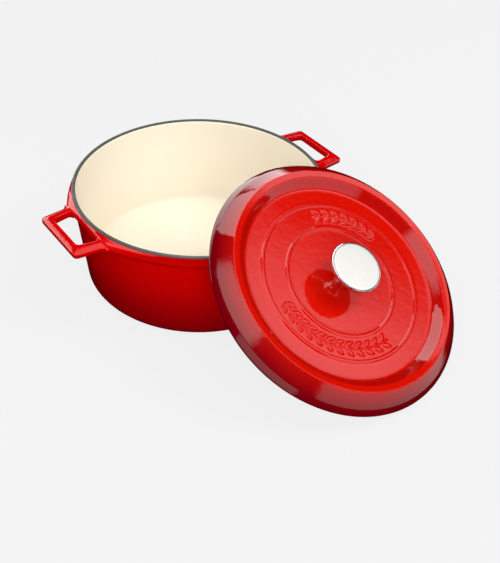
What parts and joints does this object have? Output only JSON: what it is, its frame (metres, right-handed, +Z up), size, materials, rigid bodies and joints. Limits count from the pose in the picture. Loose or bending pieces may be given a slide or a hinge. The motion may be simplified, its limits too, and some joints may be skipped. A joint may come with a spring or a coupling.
{
  "type": "dutch oven",
  "caption": "Round enamelled cast iron casserole pot with loop handles and a knobbed domed lid leaning on its rim.",
  "frame": {"origin": "centre of the pot's flat foot, on the surface it stands on", "axes": "+Z up, +X along the line through the two loop handles; the lid leans on the rim on the -Y side"},
  "size_m": [0.3145, 0.3989, 0.1392],
  "materials": {
    "bare_iron": "ground matte",
    "ground_coat": "satin",
    "cream_enamel": "gloss",
    "red_enamel": "high gloss",
    "knob_chrome": "polished",
    "knob_disc": "polished",
    "fastener_steel": "zinc plated"
  },
  "bodies": {
    "pot": {"pot_casting": "bare_iron", "pot_rim_coat": "ground_coat", "pot_inner_enamel": "cream_enamel", "pot_base_enamel": "red_enamel", "pot_outer_enamel": "red_enamel"},
    "lid": {"lid_casting": "bare_iron", "lid_seat_coat": "ground_coat", "lid_inner_enamel": "cream_enamel", "lid_outer_enamel": "red_enamel", "knob_body": "knob_chrome", "knob_disc": "knob_disc", "knob_screw": "fastener_steel", "lock_washer": "fastener_steel"}
  },
  "joints": [
    {"name": "lid_lift", "type": "slide", "parent": "pot", "child": "lid", "axis": [0, 0, 1], "range_m": [0, 0.25]}
  ]
}
